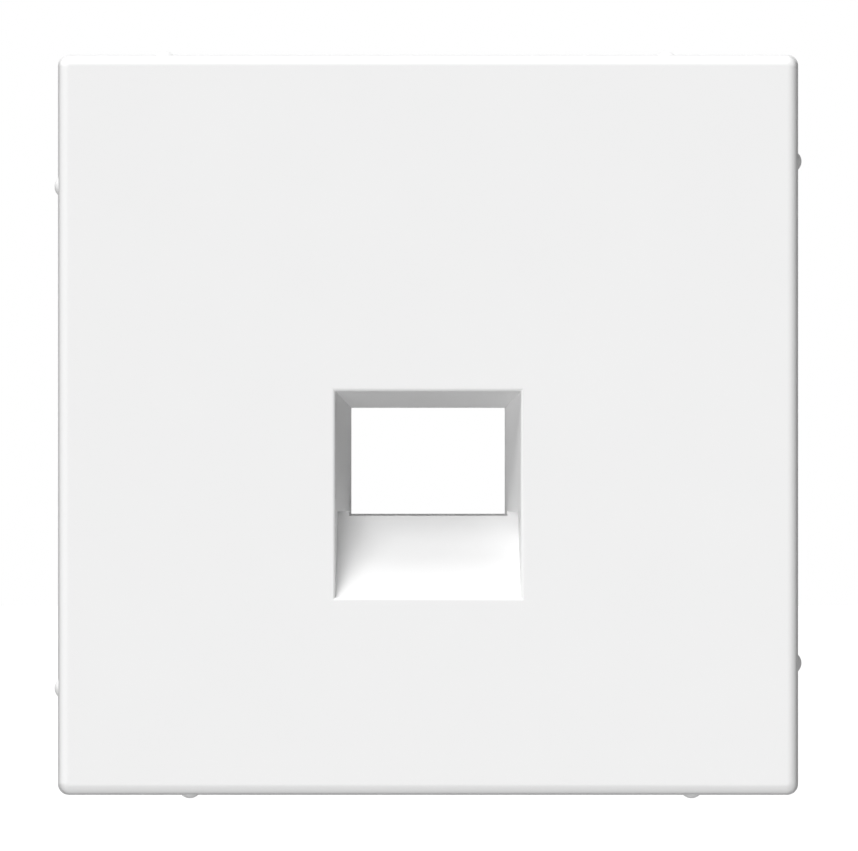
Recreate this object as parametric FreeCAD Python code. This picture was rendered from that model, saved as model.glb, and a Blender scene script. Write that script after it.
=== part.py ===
import FreeCAD, Part
import math
import os

from FreeCAD import Vector

# Data outlet cover plate: one square moulding that snaps over a wall-mounted modular jack.
# Sizes are in millimetres and angles in degrees. X runs to the right and Z up as the plate sits on the wall.
# Y runs into the wall. The rear rim lies in the plane Y = 0 and its centre is the origin.

# Square shell: a flat face and a drafted skirt, open at the rear
PLATE_WIDTH = 57.0          # outline at the rear rim, where the drafted skirt is widest
PLATE_DEPTH = 8.5           # front of the face to the rear rim
FACE_WALL = 2.0
SKIRT_WALL = 1.6
SKIRT_DRAFT = 1.5           # the skirt narrows towards the face, inside and outside alike
CORNER_RADIUS = 0.85        # upright corners of the skirt
FRONT_EDGE_RADIUS = 0.75    # rounding from the face into the skirt
INNER_CORNER_RADIUS = 0.8
INNER_EDGE_RADIUS = 0.4     # where the rear of the face meets the skirt

# Plug recess: a shallow mouth with a rounded edge that holds a funnel above and a thumb ramp below
MOUTH_WIDTH = 14.2          # between the walls, inside the rounded edge
MOUTH_HEIGHT = 15.8
MOUTH_TOP = 2.56            # upper wall of the mouth, above the centre of the plate
MOUTH_LIP = 0.4             # straight wall of the mouth, before the funnel and the ramp begin
MOUTH_EDGE_RADIUS = 0.28
FUNNEL_DEPTH = 5.5          # face to the front edge of the window
RAMP_RISE = 6.59            # height of the thumb ramp, from the lower wall of the mouth to its deep end
SCOOP_DRAFT = 2.0           # the side walls of the ramp lean in by this much
RECESS_WALL = 1.4           # wall behind the funnel, the window and the ramp

# Window for the modular plug, at the bottom of the funnel
WINDOW_WIDTH = 11.8         # clear width at the rear
WINDOW_HEIGHT = 8.15        # clear height at the rear
WINDOW_CENTRE = -2.77       # middle of the window, above the centre of the plate
WINDOW_LAND = 2.0           # length of the window's walls
WINDOW_DRAFT = 4.3          # the window widens towards the front

# Detent nubs: two on each side of the skirt, set over in the same turning sense all round
NUB_RADIUS = 0.9
NUB_PROUD = 0.21            # height beyond the outline of the rear rim
NUB_SPACING = 38.55
NUB_SHIFT = 0.97            # middle of a pair from the centre line of its side
NUB_DEPTH = 5.0             # behind the front of the face

# Stiffening ribs on the rear of the face
RIB_THICKNESS = 1.0         # at the root
RIB_HEIGHT = 3.0
RIB_DRAFT = 1.0             # each side of a rib leans in by this much
RIB_SPACING = 10.0          # between the two upright ribs

# Snap legs: four hooked cantilevers that hold the plate on its mounting frame
LEG_SPAN = 40.0             # between the outer faces of a left and a right leg at their roots
LEG_PITCH = 24.0            # between the middles of an upper and a lower leg
LEG_WIDTH = 6.0
LEG_ROOT_THICKNESS = 2.0
LEG_NECK_THICKNESS = 1.5    # just under the hook
LEG_ROOT_RADIUS = 0.8
LEG_REACH = 8.0             # tip beyond the rear rim
HOOK_REACH = 4.0            # underside of the hook beyond the rear rim
HOOK_OVERHANG = 0.9
HOOK_RELEASE_ANGLE = 30.0   # slope of the hook's underside, so that the plate can be pulled off
HOOK_LAND = 0.5
HOOK_TIP_THICKNESS = 0.9

FACE_FRONT = -PLATE_DEPTH
FACE_REAR = FACE_FRONT + FACE_WALL
RIM_HALF = PLATE_WIDTH / 2
LIP_REAR = FACE_FRONT + MOUTH_LIP
WINDOW_FRONT = FACE_FRONT + FUNNEL_DEPTH
WINDOW_REAR = WINDOW_FRONT + WINDOW_LAND
MOUTH_BOTTOM = MOUTH_TOP - MOUTH_HEIGHT
RAMP_TOP = MOUTH_BOTTOM + RAMP_RISE
SAME_PLANE = 1e-6           # two planes closer than this count as one


def skirt_half(inset, y):
    """Half the width of the drafted skirt at a plane of constant Y, inset from the outside."""
    return RIM_HALF - inset + y * math.tan(math.radians(SKIRT_DRAFT))


def rectangle(half_width, bottom, top, y):
    """Corners of a rectangle in a plane of constant Y."""
    return [
        Vector(-half_width, y, bottom),
        Vector(half_width, y, bottom),
        Vector(half_width, y, top),
        Vector(-half_width, y, top),
    ]


def closed_solid(faces):
    """Solid inside a list of flat faces, each given by its corners in order."""
    flat = [Part.Face(Part.makePolygon(corners + corners[:1])) for corners in faces]
    return Part.Solid(Part.Shell(flat))


def frustum(front, rear):
    """Solid between two rectangles that lie one behind the other."""
    sides = []
    for corner in range(4):
        following = (corner + 1) % 4
        sides.append([front[corner], front[following], rear[following], rear[corner]])
    return closed_solid([front, rear] + sides)


def drafted_block(inset, radius, y_front, y_rear):
    """Square block between two planes, with the draft of the skirt on its sides and round upright corners."""
    front_half = skirt_half(inset, y_front)
    rear_half = skirt_half(inset, y_rear)
    block = frustum(
        rectangle(front_half, -front_half, front_half, y_front),
        rectangle(rear_half, -rear_half, rear_half, y_rear),
    )
    upright = [edge for edge in block.Edges if edge.BoundBox.YLength > (y_rear - y_front) / 2]
    return block.makeFillet(radius, upright)


def edges_at(shape, y, half=math.inf):
    """Edges of a shape that lie in a plane of constant Y, no further than half from the middle in X."""
    found = []
    for edge in shape.Edges:
        box = edge.BoundBox
        in_plane = abs(box.YMin - y) < SAME_PLANE and abs(box.YMax - y) < SAME_PLANE
        if in_plane and max(abs(box.XMin), abs(box.XMax)) < half:
            found.append(edge)
    return found


def box_between(low, high):
    """Box from its lowest to its highest corner."""
    size = high - low
    return Part.makeBox(size.x, size.y, size.z, low)


def shell():
    """Face and skirt, with the rounded front edge and the rounded mouth of the plug recess."""
    block = drafted_block(0, CORNER_RADIUS, FACE_FRONT, 0)
    block = block.makeFillet(FRONT_EDGE_RADIUS, edges_at(block, FACE_FRONT))
    mouth = box_between(
        Vector(-MOUTH_WIDTH / 2, FACE_FRONT - MOUTH_LIP, MOUTH_BOTTOM),
        Vector(MOUTH_WIDTH / 2, LIP_REAR, MOUTH_TOP),
    )
    block = block.cut(mouth)
    mouth_edges = edges_at(block, FACE_FRONT, half=(MOUTH_WIDTH + MOUTH_EDGE_RADIUS) / 2)
    block = block.makeFillet(MOUTH_EDGE_RADIUS, mouth_edges)
    hollow = drafted_block(SKIRT_WALL, INNER_CORNER_RADIUS, FACE_REAR, FACE_WALL)
    hollow = hollow.makeFillet(INNER_EDGE_RADIUS, edges_at(hollow, FACE_REAR))
    return block.cut(hollow)


def funnel():
    """Hollow that narrows from the mouth down to the window and goes on through it."""
    flare = WINDOW_LAND * math.tan(math.radians(WINDOW_DRAFT))
    half_width = WINDOW_WIDTH / 2
    bottom = WINDOW_CENTRE - WINDOW_HEIGHT / 2
    top = WINDOW_CENTRE + WINDOW_HEIGHT / 2
    mouth = rectangle(MOUTH_WIDTH / 2, bottom - flare, MOUTH_TOP, LIP_REAR)
    front = rectangle(half_width + flare, bottom - flare, top + flare, WINDOW_FRONT)
    rear = rectangle(half_width, bottom, top, WINDOW_REAR)
    return frustum(mouth, front).fuse(frustum(front, rear))


def scoop():
    """Wedge-shaped hollow above the thumb ramp."""
    mouth_half = MOUTH_WIDTH / 2
    deep_half = mouth_half - (WINDOW_FRONT - LIP_REAR) * math.tan(math.radians(SCOOP_DRAFT))
    low_left, low_right, high_right, high_left = rectangle(mouth_half, MOUTH_BOTTOM, RAMP_TOP, LIP_REAR)
    deep_left = Vector(-deep_half, WINDOW_FRONT, RAMP_TOP)
    deep_right = Vector(deep_half, WINDOW_FRONT, RAMP_TOP)
    return closed_solid([
        [low_left, low_right, high_right, high_left],
        [high_left, high_right, deep_right, deep_left],
        [low_right, low_left, deep_left, deep_right],
        [low_left, high_left, deep_left],
        [high_right, low_right, deep_right],
    ])


def recess_boss():
    """Block behind the face that carries the recess, with an even wall over the funnel and under the ramp."""
    ramp_angle = math.atan2(WINDOW_FRONT - LIP_REAR, RAMP_RISE)
    half_width = MOUTH_WIDTH / 2 + RECESS_WALL
    half_height = WINDOW_HEIGHT / 2 + RECESS_WALL
    sill = WINDOW_CENTRE - half_height
    ramp_foot = MOUTH_BOTTOM - RECESS_WALL / math.sin(ramp_angle)
    y_knee = LIP_REAR + (sill - ramp_foot) * math.tan(ramp_angle)
    side = [
        Vector(-half_width, LIP_REAR, MOUTH_TOP + RECESS_WALL),
        Vector(-half_width, WINDOW_REAR, WINDOW_CENTRE + half_height),
        Vector(-half_width, WINDOW_REAR, sill),
        Vector(-half_width, y_knee, sill),
        Vector(-half_width, LIP_REAR, ramp_foot),
    ]
    outline = Part.Face(Part.makePolygon(side + side[:1]))
    return outline.extrude(Vector(2 * half_width, 0, 0))


def detent_nubs():
    """Round nubs that grip the opening of the surrounding frame, in a four-fold pinwheel."""
    nubs = []
    y = FACE_FRONT + NUB_DEPTH
    centre_height = RIM_HALF + NUB_PROUD - NUB_RADIUS
    base_height = skirt_half(SKIRT_WALL / 2, y)
    base_latitude = math.degrees(math.asin((base_height - centre_height) / NUB_RADIUS))
    for along in (-NUB_SPACING / 2, NUB_SPACING / 2):
        centre = Vector(along - NUB_SHIFT, y, centre_height)
        nub = Part.makeSphere(NUB_RADIUS, centre, Vector(0, 0, 1), base_latitude, 90, 360)
        for quarter in range(4):
            nubs.append(nub.rotated(Vector(0, 0, 0), Vector(0, 1, 0), 90 * quarter))
    return nubs


def stiffening_ribs():
    """Two upright ribs and one level rib across the rear of the face, from skirt to skirt, with draft."""
    y_sunk = FACE_REAR - FACE_WALL / 2
    y_top = FACE_REAR + RIB_HEIGHT
    reach = skirt_half(SKIRT_WALL / 2, y_sunk)
    slope = math.tan(math.radians(RIB_DRAFT))
    sunk_half = RIB_THICKNESS / 2 + (FACE_REAR - y_sunk) * slope
    top_half = RIB_THICKNESS / 2 - RIB_HEIGHT * slope
    upright = frustum(
        rectangle(sunk_half, -reach, reach, y_sunk),
        rectangle(top_half, -reach, reach, y_top),
    )
    level = frustum(
        rectangle(reach, -sunk_half, sunk_half, y_sunk),
        rectangle(reach, -top_half, top_half, y_top),
    )
    ribs = [level.translated(Vector(0, 0, WINDOW_CENTRE))]
    for x in (-RIB_SPACING / 2, RIB_SPACING / 2):
        ribs.append(upright.translated(Vector(x, 0, 0)))
    return ribs


def snap_leg_outline():
    """Side outline of the upper right snap leg, hooked outwards and rounded into the face at its root."""
    outer = LEG_SPAN / 2
    inner = outer - LEG_ROOT_THICKNESS
    neck = inner + LEG_NECK_THICKNESS
    hook = neck + HOOK_OVERHANG
    y_sunk = FACE_REAR - FACE_WALL / 2
    y_round = FACE_REAR + LEG_ROOT_RADIUS
    y_edge = HOOK_REACH + HOOK_OVERHANG * math.tan(math.radians(HOOK_RELEASE_ANGLE))
    round_middle = LEG_ROOT_RADIUS * (1 - math.cos(math.radians(45)))
    inner_round = Part.Arc(
        Vector(inner, y_round, 0),
        Vector(inner - round_middle, FACE_REAR + round_middle, 0),
        Vector(inner - LEG_ROOT_RADIUS, FACE_REAR, 0),
    )
    outer_round = Part.Arc(
        Vector(outer + LEG_ROOT_RADIUS, FACE_REAR, 0),
        Vector(outer + round_middle, FACE_REAR + round_middle, 0),
        Vector(outer, y_round, 0),
    )
    root = Part.makePolygon([
        Vector(inner - LEG_ROOT_RADIUS, FACE_REAR, 0),
        Vector(inner - LEG_ROOT_RADIUS, y_sunk, 0),
        Vector(outer + LEG_ROOT_RADIUS, y_sunk, 0),
        Vector(outer + LEG_ROOT_RADIUS, FACE_REAR, 0),
    ])
    arm = Part.makePolygon([
        Vector(outer, y_round, 0),
        Vector(neck, HOOK_REACH, 0),
        Vector(hook, y_edge, 0),
        Vector(hook, y_edge + HOOK_LAND, 0),
        Vector(inner + HOOK_TIP_THICKNESS, LEG_REACH, 0),
        Vector(inner, LEG_REACH, 0),
        Vector(inner, y_round, 0),
    ])
    edges = root.Edges + [outer_round.toShape()] + arm.Edges + [inner_round.toShape()]
    return Part.Wire(Part.__sortEdges__(edges))


def snap_legs():
    """Four snap legs, mirrored left and right and repeated above and below."""
    leg = Part.Face(snap_leg_outline()).extrude(Vector(0, 0, LEG_WIDTH))
    legs = []
    for middle in (-LEG_PITCH / 2, LEG_PITCH / 2):
        right = leg.translated(Vector(0, 0, middle - LEG_WIDTH / 2))
        legs.append(right)
        legs.append(right.mirror(Vector(0, 0, 0), Vector(1, 0, 0)))
    return legs


def cover_plate():
    """The finished moulding."""
    added = [recess_boss()] + detent_nubs() + stiffening_ribs() + snap_legs()
    body = shell().fuse(added).cut([funnel(), scoop()])
    return body.removeSplitter()


os.makedirs("parts", exist_ok=True)
cover_plate().exportStep("parts/cover_plate.step")
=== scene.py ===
"""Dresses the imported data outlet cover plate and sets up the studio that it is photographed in.

Lengths are in metres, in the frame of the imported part: X to the right, Z up and Y into the wall.
"""

import logging
import math
from dataclasses import dataclass
from enum import Enum

import bmesh
import bpy
from mathutils import Matrix, Vector


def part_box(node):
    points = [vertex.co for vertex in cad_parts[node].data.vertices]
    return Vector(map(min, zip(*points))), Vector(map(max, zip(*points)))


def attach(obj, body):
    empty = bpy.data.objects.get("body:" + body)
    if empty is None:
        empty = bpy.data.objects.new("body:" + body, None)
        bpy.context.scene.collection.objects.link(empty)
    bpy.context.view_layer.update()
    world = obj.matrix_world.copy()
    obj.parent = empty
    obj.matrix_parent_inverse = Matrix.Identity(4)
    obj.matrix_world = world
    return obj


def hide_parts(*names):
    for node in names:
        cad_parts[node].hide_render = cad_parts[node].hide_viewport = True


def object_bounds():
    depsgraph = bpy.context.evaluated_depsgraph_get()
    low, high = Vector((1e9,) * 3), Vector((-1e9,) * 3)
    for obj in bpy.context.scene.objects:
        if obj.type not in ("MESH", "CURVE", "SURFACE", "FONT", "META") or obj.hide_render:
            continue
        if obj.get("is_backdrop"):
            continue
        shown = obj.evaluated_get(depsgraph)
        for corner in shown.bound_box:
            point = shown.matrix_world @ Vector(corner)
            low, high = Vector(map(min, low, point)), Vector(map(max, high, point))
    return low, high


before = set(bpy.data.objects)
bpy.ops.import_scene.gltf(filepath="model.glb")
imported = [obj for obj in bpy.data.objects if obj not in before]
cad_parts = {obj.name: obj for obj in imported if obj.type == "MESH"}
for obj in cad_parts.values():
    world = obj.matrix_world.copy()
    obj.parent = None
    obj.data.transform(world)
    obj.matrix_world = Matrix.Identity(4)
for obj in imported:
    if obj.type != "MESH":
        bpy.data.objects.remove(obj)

BODY = "root"
NODE = "cover_plate"
PHOTO_WIDTH = 858
PHOTO_HEIGHT = 851

MM = 0.001
QUARTER_TURN = math.radians(90)
SAME_POINT = 0.001 * MM  # points closer than this count as one

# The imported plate
FACE_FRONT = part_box(NODE)[0].y
FACE_WALL = 2.0 * MM
FACE_REAR = FACE_FRONT + FACE_WALL
RIM_REAR = 0.0
RIM_WIDTH = 57.0 * MM
SKIRT_WALL = 1.6 * MM
FUNNEL_DEPTH = 5.5 * MM
WINDOW_LAND = 2.0 * MM  # length of the window's walls
WINDOW_REAR = FACE_FRONT + FUNNEL_DEPTH + WINDOW_LAND

Colour = tuple[float, float, float, float]

log = logging.getLogger("cover_plate")


class MouldSide(Enum):
    """The half of the mould that formed a surface. The value is the material slot of its finish."""

    CAVITY = 0
    CORE = 1


class NodeSheet:
    """A node tree that is laid out in a row while it is being built."""

    COLUMN = 220

    def __init__(self, tree: bpy.types.NodeTree) -> None:
        """Empties the tree.

        Args:
            tree: The node tree to build in.
        """
        self.tree = tree
        self.tree.nodes.clear()

    def add(self, kind: str, **settings: object) -> bpy.types.Node:
        """Adds a node.

        Args:
            kind: The node's type name.
            settings: Properties of the node, by name.

        Returns:
            The new node, placed to the right of the others.
        """
        node = self.tree.nodes.new(kind)
        node.location.x = self.COLUMN * len(self.tree.nodes)
        for name, value in settings.items():
            setattr(node, name, value)
        return node

    def join(self, source: bpy.types.NodeSocket, target: bpy.types.NodeSocket) -> None:
        """Links an output to an input."""
        self.tree.links.new(source, target)


def grey(level: float) -> Colour:
    """Gives an opaque grey, from 0 for black to 1 for white."""
    return (level, level, level, 1.0)


def add_object(name: str, data: bpy.types.ID) -> bpy.types.Object:
    """Makes an object and puts it in the scene, at the origin.

    Args:
        name: The object's name.
        data: Its mesh, light or camera.

    Returns:
        The object.
    """
    added = bpy.data.objects.new(name, data)
    bpy.context.scene.collection.objects.link(added)
    return added


def settle(piece: bpy.types.Object) -> None:
    """Makes a finished piece ride on the part."""
    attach(piece, BODY)


@dataclass(frozen=True)
class PlasticFinish:
    """White moulded plastic, with the surface that one half of the mould gives it."""

    name: str
    pale: Colour
    paler: Colour
    cloud_size: float
    smoothest: float
    roughest: float
    grain_size: float
    grain_depth: float
    ripple_size: float
    ripple_depth: float
    gloss: float = 0.2
    cloud_detail: float = 2.0
    grain_detail: float = 3.0
    ripple_detail: float = 1.0

    def make(self) -> bpy.types.Material:
        """Builds the procedural material.

        Returns:
            The material, which reads the piece's own coordinates.
        """
        material = bpy.data.materials.new(self.name)
        material.use_nodes = True
        material.diffuse_color = self.pale
        sheet = NodeSheet(material.node_tree)
        place = sheet.add("ShaderNodeTexCoord").outputs["Object"]
        clouds = self._noise(sheet, place, self.cloud_size, self.cloud_detail)
        grain = self._noise(sheet, place, self.grain_size, self.grain_detail)
        ripple = self._noise(sheet, place, self.ripple_size, self.ripple_detail)

        tint = sheet.add("ShaderNodeMix", data_type="RGBA")
        tint.inputs["A"].default_value = self.pale
        tint.inputs["B"].default_value = self.paler
        sheet.join(clouds, tint.inputs["Factor"])

        polish = sheet.add("ShaderNodeMapRange")
        polish.inputs["To Min"].default_value = self.smoothest
        polish.inputs["To Max"].default_value = self.roughest
        sheet.join(grain, polish.inputs["Value"])

        waves = self._bump(sheet, ripple, self.ripple_depth)
        relief = self._bump(sheet, grain, self.grain_depth)
        sheet.join(waves.outputs["Normal"], relief.inputs["Normal"])

        shader = sheet.add("ShaderNodeBsdfPrincipled")
        shader.inputs["Specular IOR Level"].default_value = self.gloss
        sheet.join(tint.outputs["Result"], shader.inputs["Base Color"])
        sheet.join(polish.outputs["Result"], shader.inputs["Roughness"])
        sheet.join(relief.outputs["Normal"], shader.inputs["Normal"])
        output = sheet.add("ShaderNodeOutputMaterial")
        sheet.join(shader.outputs["BSDF"], output.inputs["Surface"])
        return material

    @staticmethod
    def _noise(
        sheet: NodeSheet, place: bpy.types.NodeSocket, size: float, detail: float
    ) -> bpy.types.NodeSocket:
        """Adds a noise.

        Args:
            sheet: The material's node sheet.
            place: The coordinates that the noise reads.
            size: The size of its largest features.
            detail: How many finer layers it has.

        Returns:
            The noise's value.
        """
        noise = sheet.add("ShaderNodeTexNoise")
        noise.inputs["Scale"].default_value = 1 / size
        noise.inputs["Detail"].default_value = detail
        sheet.join(place, noise.inputs["Vector"])
        return noise.outputs["Fac"]

    @staticmethod
    def _bump(sheet: NodeSheet, height: bpy.types.NodeSocket, depth: float) -> bpy.types.Node:
        """Adds a bump.

        Args:
            sheet: The material's node sheet.
            height: The height to follow, from 0 to 1.
            depth: What the whole height is in metres.

        Returns:
            The bump node.
        """
        bump = sheet.add("ShaderNodeBump")
        bump.inputs["Distance"].default_value = depth
        sheet.join(height, bump.inputs["Height"])
        return bump


FINE_MATT = PlasticFinish(
    name="fine_matt_white",
    pale=grey(0.862),
    paler=grey(0.878),
    cloud_size=9 * MM,
    smoothest=0.70,
    roughest=0.80,
    grain_size=0.16 * MM,
    grain_depth=0.0006 * MM,
    ripple_size=2.4 * MM,
    ripple_depth=0.0012 * MM,
)
COARSE_MATT = PlasticFinish(
    name="coarse_matt_white",
    pale=grey(0.845),
    paler=grey(0.870),
    cloud_size=6 * MM,
    smoothest=0.76,
    roughest=0.90,
    grain_size=0.22 * MM,
    grain_depth=0.012 * MM,
    ripple_size=3.2 * MM,
    ripple_depth=0.004 * MM,
)


@dataclass
class Moulding:
    """The one-piece plate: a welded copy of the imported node, with eased edges and two finishes.

    The halves of the mould met along the outer line of the rear rim and round the rear of the window.
    """

    flat_angle: float = 0.2
    sharp_angle: float = 28.0
    eased_edge: float = 0.08 * MM
    eased_segments: int = 2
    flat_weight: int = 80
    rim_middle: float = (RIM_WIDTH - SKIRT_WALL) / 2  # between the inner and the outer line of the rim
    window_reach: float = 8.0 * MM  # beyond every edge of the window, seen from the plate's centre

    def build(self) -> bpy.types.Object:
        """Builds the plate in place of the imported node.

        Returns:
            The plate.
        """
        plate = add_object("moulded_plate", self._welded_copy())
        self._ease_edges(plate)
        return plate

    @staticmethod
    def dress(plate: bpy.types.Object, front: bpy.types.Material, rear: bpy.types.Material) -> None:
        """Gives the plate its finishes and sets it on the part.

        Args:
            plate: The plate.
            front: The finish of what the mould's cavity formed.
            rear: The finish of what the mould's core formed.
        """
        plate.data.materials.append(front)
        plate.data.materials.append(rear)
        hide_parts(NODE)
        settle(plate)

    def _welded_copy(self) -> bpy.types.Mesh:
        """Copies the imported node's loose triangles into one closed mesh with whole flat faces.

        Returns:
            The mesh, with each face marked for its finish.
        """
        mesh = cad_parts[NODE].data.copy()
        mesh.name = "moulded_plate"
        mesh.materials.clear()
        for name in ("custom_normal", "sharp_face", "sharp_edge"):
            if name in mesh.attributes:
                mesh.attributes.remove(mesh.attributes[name])
        form = bmesh.new()
        form.from_mesh(mesh)
        bmesh.ops.remove_doubles(form, verts=form.verts, dist=SAME_POINT)
        bmesh.ops.dissolve_limit(
            form, angle_limit=math.radians(self.flat_angle), verts=form.verts, edges=form.edges
        )
        self._mark_sides(form)
        form.to_mesh(mesh)
        form.free()
        mesh.shade_smooth()
        mesh.set_sharp_from_angle(angle=math.radians(self.sharp_angle))
        return mesh

    def _mark_sides(self, form: bmesh.types.BMesh) -> None:
        """Marks what the mould's cavity formed, spreading from the front face to where the halves met.

        Args:
            form: The welded plate.
        """
        for face in form.faces:
            face.material_index = MouldSide.CORE.value
        waiting = [min(form.faces, key=lambda face: face.calc_center_median().y)]
        while waiting:
            face = waiting.pop()
            if face.material_index == MouldSide.CAVITY.value:
                continue
            face.material_index = MouldSide.CAVITY.value
            for edge in face.edges:
                if not self._parts_the_mould(edge):
                    waiting.extend(edge.link_faces)

    def _parts_the_mould(self, edge: bmesh.types.BMEdge) -> bool:
        """Tells whether the halves of the mould met along an edge.

        Args:
            edge: An edge of the welded plate.

        Returns:
            True on the rim's outer line and round the rear of the window.
        """
        start, end = (corner.co for corner in edge.verts)
        middle = (start + end) / 2
        reach = max(abs(middle.x), abs(middle.z))
        on_rim = max(abs(start.y - RIM_REAR), abs(end.y - RIM_REAR)) < SAME_POINT
        on_window = max(abs(start.y - WINDOW_REAR), abs(end.y - WINDOW_REAR)) < SAME_POINT
        return (on_rim and reach > self.rim_middle) or (on_window and reach < self.window_reach)

    def _ease_edges(self, plate: bpy.types.Object) -> None:
        """Takes the knife edge off every sharp corner, as a mould does, and shades flats flat.

        Args:
            plate: The plate.
        """
        ease = plate.modifiers.new("eased_edges", "BEVEL")
        ease.width = self.eased_edge
        ease.segments = self.eased_segments
        ease.limit_method = "ANGLE"
        ease.angle_limit = math.radians(self.sharp_angle)
        ease.miter_outer = "MITER_ARC"
        ease.harden_normals = False
        weigh = plate.modifiers.new("flat_flats", "WEIGHTED_NORMAL")
        weigh.keep_sharp = False
        weigh.weight = self.flat_weight


@dataclass
class EjectorMarks:
    """Witness marks that the mould's ejector pins leave on the rear of the face, on a regular grid."""

    columns: int = 3
    rows: int = 2
    span_across: float = 44 * MM
    span_up: float = 40 * MM
    radius: float = 2.0 * MM
    height: float = 0.06 * MM
    sunk: float = 0.02 * MM
    corners: int = 48

    def build(self, finish: bpy.types.Material) -> bpy.types.Object:
        """Builds the marks, in the finish that their tree sets.

        Args:
            finish: The material of the marks.

        Returns:
            The marks, as one plain mesh.
        """
        carrier = add_object("ejector_marks_carrier", bpy.data.meshes.new("ejector_marks_carrier"))
        maker = carrier.modifiers.new("ejector_marks", "NODES")
        maker.node_group = self._tree()
        inputs = self._inputs(finish)
        for socket in maker.node_group.interface.items_tree:
            if socket.name in inputs:
                maker[socket.identifier] = inputs[socket.name]
        grown = carrier.evaluated_get(bpy.context.evaluated_depsgraph_get())
        mesh = bpy.data.meshes.new_from_object(grown)
        mesh.name = "ejector_marks"
        bpy.data.objects.remove(carrier)
        return add_object("ejector_marks", mesh)

    @staticmethod
    def dress(marks: bpy.types.Object) -> None:
        """Sets the marks on the part, because their tree has already given them their finish."""
        settle(marks)

    def _inputs(self, finish: bpy.types.Material) -> dict[str, object]:
        """Works out what the tree is given.

        Args:
            finish: The material of the marks.

        Returns:
            The tree's inputs, by name.
        """
        return {
            "Columns": self.columns,
            "Rows": self.rows,
            "Span Across": self.span_across,
            "Span Up": self.span_up,
            "Middle Plane": FACE_REAR + (self.height - self.sunk) / 2,
            "Radius": self.radius,
            "Top Radius": self.radius - self.height,
            "Thickness": self.height + self.sunk,
            "Corners": self.corners,
            "Finish": finish,
        }

    @staticmethod
    def _tree() -> bpy.types.NodeTree:
        """Builds the tree that sets a flat disc on every point of a grid.

        Returns:
            The tree.
        """
        tree = bpy.data.node_groups.new("ejector_marks", "GeometryNodeTree")
        sheet = NodeSheet(tree)
        for name, kind in (
            ("Columns", "NodeSocketInt"),
            ("Rows", "NodeSocketInt"),
            ("Span Across", "NodeSocketFloat"),
            ("Span Up", "NodeSocketFloat"),
            ("Middle Plane", "NodeSocketFloat"),
            ("Radius", "NodeSocketFloat"),
            ("Top Radius", "NodeSocketFloat"),
            ("Thickness", "NodeSocketFloat"),
            ("Corners", "NodeSocketInt"),
            ("Finish", "NodeSocketMaterial"),
        ):
            tree.interface.new_socket(name, in_out="INPUT", socket_type=kind)
        tree.interface.new_socket("Marks", in_out="OUTPUT", socket_type="NodeSocketGeometry")

        given = sheet.add("NodeGroupInput").outputs
        grid = sheet.add("GeometryNodeMeshGrid")
        sheet.join(given["Columns"], grid.inputs["Vertices X"])
        sheet.join(given["Rows"], grid.inputs["Vertices Y"])
        sheet.join(given["Span Across"], grid.inputs["Size X"])
        sheet.join(given["Span Up"], grid.inputs["Size Y"])

        disc = sheet.add("GeometryNodeMeshCone")
        sheet.join(given["Corners"], disc.inputs["Vertices"])
        sheet.join(given["Radius"], disc.inputs["Radius Bottom"])
        sheet.join(given["Top Radius"], disc.inputs["Radius Top"])
        sheet.join(given["Thickness"], disc.inputs["Depth"])

        scatter = sheet.add("GeometryNodeInstanceOnPoints")
        sheet.join(grid.outputs["Mesh"], scatter.inputs["Points"])
        sheet.join(disc.outputs["Mesh"], scatter.inputs["Instance"])

        depth = sheet.add("ShaderNodeCombineXYZ")
        sheet.join(given["Middle Plane"], depth.inputs["Y"])
        stand = sheet.add("GeometryNodeTransform")
        stand.inputs["Rotation"].default_value = (-QUARTER_TURN, 0, 0)
        sheet.join(scatter.outputs["Instances"], stand.inputs["Geometry"])
        sheet.join(depth.outputs["Vector"], stand.inputs["Translation"])

        solid = sheet.add("GeometryNodeRealizeInstances")
        sheet.join(stand.outputs["Geometry"], solid.inputs["Geometry"])
        dressed = sheet.add("GeometryNodeSetMaterial")
        sheet.join(solid.outputs["Geometry"], dressed.inputs["Geometry"])
        sheet.join(given["Finish"], dressed.inputs["Material"])
        made = sheet.add("NodeGroupOutput")
        sheet.join(dressed.outputs["Geometry"], made.inputs["Marks"])
        return tree


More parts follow.
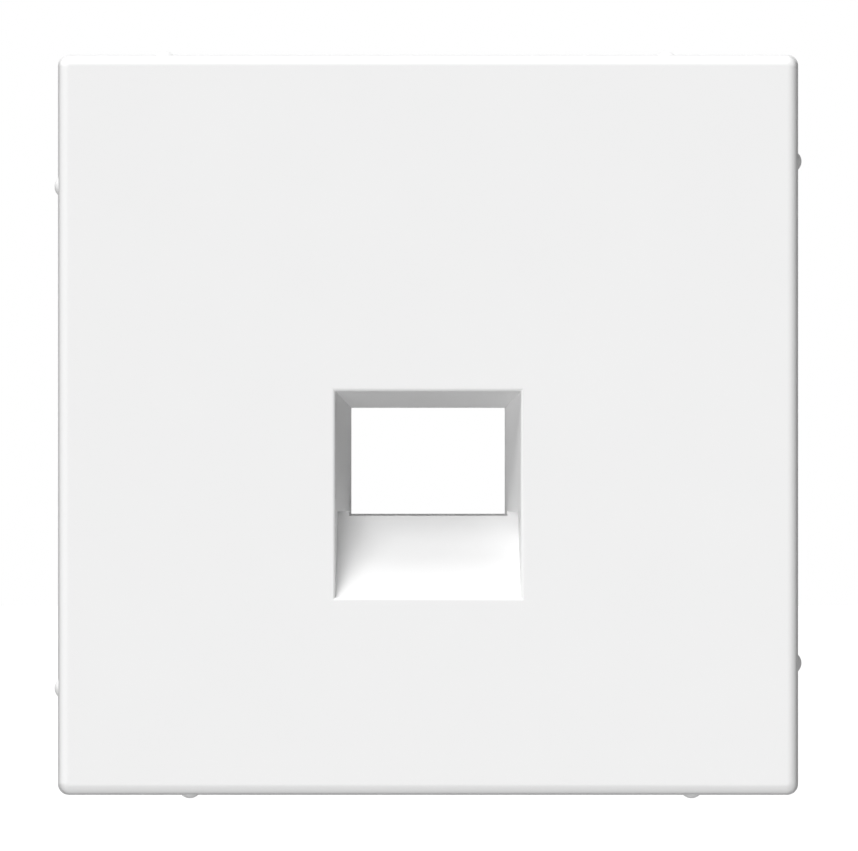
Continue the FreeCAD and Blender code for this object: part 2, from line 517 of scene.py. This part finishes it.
@dataclass
class GateMark:
    """The broken-off stub, on the rear of the face, where the plastic entered the mould."""

    up: float = 14.0 * MM
    foot_radius: float = 1.1 * MM
    neck_radius: float = 0.6 * MM
    foot_height: float = 0.12 * MM
    height: float = 0.45 * MM
    dish: float = 0.08 * MM
    sunk: float = 0.02 * MM
    steps: int = 40

    def build(self) -> bpy.types.Object:
        """Builds the stub by turning its outline round its own axis.

        Returns:
            The stub.
        """
        form = bmesh.new()
        corners = [form.verts.new((radius, FACE_REAR + rise, self.up)) for radius, rise in self._outline()]
        edges = [form.edges.new(pair) for pair in zip(corners, corners[1:])]
        bmesh.ops.spin(
            form,
            geom=corners + edges,
            cent=(0, 0, self.up),
            axis=(0, 1, 0),
            angle=math.tau,
            steps=self.steps,
            use_merge=True,
        )
        bmesh.ops.remove_doubles(form, verts=form.verts, dist=SAME_POINT)
        bmesh.ops.recalc_face_normals(form, faces=form.faces)
        mesh = bpy.data.meshes.new("gate_mark")
        form.to_mesh(mesh)
        form.free()
        return add_object("gate_mark", mesh)

    @staticmethod
    def dress(stub: bpy.types.Object, finish: bpy.types.Material) -> None:
        """Gives the stub its finish and sets it on the part."""
        stub.data.materials.append(finish)
        settle(stub)

    def _outline(self) -> tuple[tuple[float, float], ...]:
        """Works out the stub's outline, which starts and ends on its axis.

        Returns:
            The outline's corners, each as its radius and its rise from the rear of the face.
        """
        bevel = self.foot_height / 2
        floor_of_dish = self.height - self.dish
        return (
            (0.0, -self.sunk),
            (self.foot_radius, -self.sunk),
            (self.foot_radius, self.foot_height - bevel),
            (self.foot_radius - bevel, self.foot_height),
            (self.neck_radius, self.foot_height),
            (self.neck_radius, self.height),
            (self.neck_radius / 2, floor_of_dish),
            (0.0, floor_of_dish),
        )


@dataclass(frozen=True)
class SoftLamp:
    """A distant soft light. Its angles are in degrees.

    The azimuth is counted from the front to the right, the elevation from the horizon upwards, and the
    softness is the angle across the light. Reflections show the light only where it is mirrored.
    """

    name: str
    azimuth: float
    elevation: float
    level: float
    softness: float
    mirrored: bool = True

    def build(self) -> bpy.types.Object:
        """Builds the lamp. At a level of 1 a white surface that faces it is white.

        Returns:
            The lamp.
        """
        data = bpy.data.lights.new(self.name, "SUN")
        data.energy = self.level * math.pi
        data.angle = math.radians(self.softness)
        round_from_front = math.radians(self.azimuth)
        above = math.radians(self.elevation)
        towards = Vector((
            math.sin(round_from_front) * math.cos(above),
            -math.cos(round_from_front) * math.cos(above),
            math.sin(above),
        ))
        lamp = add_object(self.name, data)
        lamp.rotation_euler = towards.to_track_quat("Z", "Y").to_euler()
        lamp.visible_glossy = self.mirrored
        return lamp


@dataclass
class Studio:
    """Plain white surroundings: floor, sky and soft lamps."""

    floor_drop: float = 6 * MM
    floor_size: float = 6.0
    floor_shade: float = 0.8
    floor_gloss: float = 0.0
    floor_lift: float = 0.26
    sky_level: float = 0.05
    lamps: tuple[SoftLamp, ...] = (
        SoftLamp("front", azimuth=-15, elevation=0, level=0.625, softness=36),
        SoftLamp("front_right", azimuth=14, elevation=0, level=0.09, softness=16),
        SoftLamp("key", azimuth=-40, elevation=60, level=0.35, softness=16),
        SoftLamp("top", azimuth=-60, elevation=80, level=0.58, softness=16),
        SoftLamp("top_right", azimuth=45, elevation=70, level=0.07, softness=16),
        SoftLamp("left_side", azimuth=-96, elevation=-25, level=0.07, softness=16),
        SoftLamp("right_side", azimuth=96, elevation=-25, level=0.13, softness=16),
        SoftLamp("floor_glow", azimuth=0, elevation=-50, level=0.07, softness=16),
        SoftLamp("under", azimuth=180, elevation=-85, level=0.10, softness=24),
        SoftLamp("back", azimuth=180, elevation=0, level=0.55, softness=8, mirrored=False),
    )

    def build(self) -> None:
        """Builds the floor, the sky and the lamps."""
        bpy.context.scene.view_settings.view_transform = "Standard"
        self._floor()
        self._sky()
        for lamp in self.lamps:
            lamp.build()

    def _floor(self) -> None:
        """Builds a level floor under the plate, which takes its shadow but neither lights nor shades it."""
        low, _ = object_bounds()
        level = low.z - self.floor_drop
        form = bmesh.new()
        bmesh.ops.create_grid(
            form,
            x_segments=1,
            y_segments=1,
            size=self.floor_size / 2,
            matrix=Matrix.Translation((0, 0, level)),
        )
        mesh = bpy.data.meshes.new("floor")
        form.to_mesh(mesh)
        form.free()
        mesh.materials.append(self._paper())
        floor = add_object("floor", mesh)
        floor.visible_diffuse = False
        floor.visible_shadow = False
        floor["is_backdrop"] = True

    def _paper(self) -> bpy.types.Material:
        """Builds the floor's material, which is white in the open and keeps the plate's shadow.

        Returns:
            The material.
        """
        paper = bpy.data.materials.new("white_paper")
        paper.use_nodes = True
        shader = paper.node_tree.nodes["Principled BSDF"]
        shader.inputs["Base Color"].default_value = grey(self.floor_shade)
        shader.inputs["Specular IOR Level"].default_value = self.floor_gloss
        shader.inputs["Emission Color"].default_value = grey(1.0)
        shader.inputs["Emission Strength"].default_value = self.floor_lift
        return paper

    def _sky(self) -> None:
        """Builds the surroundings: white where they are seen, and at their own level where they light."""
        world = bpy.data.worlds.new("studio")
        bpy.context.scene.world = world
        world.use_nodes = True
        sheet = NodeSheet(world.node_tree)
        seen = sheet.add("ShaderNodeBackground")
        seen.inputs["Color"].default_value = grey(1.0)
        lit = sheet.add("ShaderNodeBackground")
        lit.inputs["Color"].default_value = grey(1.0)
        lit.inputs["Strength"].default_value = self.sky_level
        choice = sheet.add("ShaderNodeMixShader")
        sheet.join(self._seen_directly(sheet), choice.inputs["Fac"])
        sheet.join(lit.outputs["Background"], choice.inputs[1])
        sheet.join(seen.outputs["Background"], choice.inputs[2])
        output = sheet.add("ShaderNodeOutputWorld")
        sheet.join(choice.outputs["Shader"], output.inputs["Surface"])

    @staticmethod
    def _seen_directly(sheet: NodeSheet) -> bpy.types.NodeSocket:
        """Adds the nodes that tell what is seen from what only lights the plate.

        Args:
            sheet: The node sheet to add to.

        Returns:
            1 for what the camera sees, also in a reflection or through glass, and 0 for what only lights.
        """
        path = sheet.add("ShaderNodeLightPath")
        through = sheet.add("ShaderNodeMath", operation="MAXIMUM")
        sheet.join(path.outputs["Is Camera Ray"], through.inputs[0])
        sheet.join(path.outputs["Is Transmission Ray"], through.inputs[1])
        shown = sheet.add("ShaderNodeMath", operation="MAXIMUM")
        sheet.join(through.outputs["Value"], shown.inputs[0])
        sheet.join(path.outputs["Is Glossy Ray"], shown.inputs[1])
        return shown.outputs["Value"]


@dataclass
class PhotoCamera:
    """A long lens square in front of the plate, framed as the photograph is."""

    distance: float = 2.0
    nearest: float = 0.02
    farthest: float = 8.0
    rim_pixels: float = 740.2
    centre_pixel: tuple[float, float] = (428.05, 424.8)
    sensor: float = 36.0  # in millimetres, as Blender counts it

    def build(self) -> bpy.types.Object:
        """Builds the camera and makes it the scene's.

        Returns:
            The camera.
        """
        to_rim = self.distance + RIM_REAR - FACE_FRONT
        pixel = RIM_WIDTH / self.rim_pixels
        across, down = self.centre_pixel
        data = bpy.data.cameras.new("photo_camera")
        data.sensor_width = self.sensor
        data.lens = self.sensor * to_rim / (PHOTO_WIDTH * pixel)
        data.clip_start = self.nearest
        data.clip_end = self.farthest
        camera = add_object("photo_camera", data)
        camera.location = (
            (PHOTO_WIDTH / 2 - across) * pixel,
            RIM_REAR - to_rim,
            (down - PHOTO_HEIGHT / 2) * pixel,
        )
        camera.rotation_euler = (QUARTER_TURN, 0, 0)
        bpy.context.scene.camera = camera
        return camera


def main() -> None:
    """Builds the plate, its mould marks, the studio and the camera, and reports each piece."""
    logging.basicConfig(level=logging.INFO, format="%(name)s: %(message)s")
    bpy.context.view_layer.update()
    front = FINE_MATT.make()
    rear = COARSE_MATT.make()

    moulding = Moulding()
    plate = moulding.build()
    moulding.dress(plate, front, rear)
    ejector_marks = EjectorMarks()
    marks = ejector_marks.build(rear)
    ejector_marks.dress(marks)
    gate_mark = GateMark()
    stub = gate_mark.build()
    gate_mark.dress(stub, rear)
    for piece in (plate, marks, stub):
        log.info("%s: %d faces", piece.name, len(piece.data.polygons))

    Studio().build()
    PhotoCamera().build()


if __name__ == "__main__":
    main()
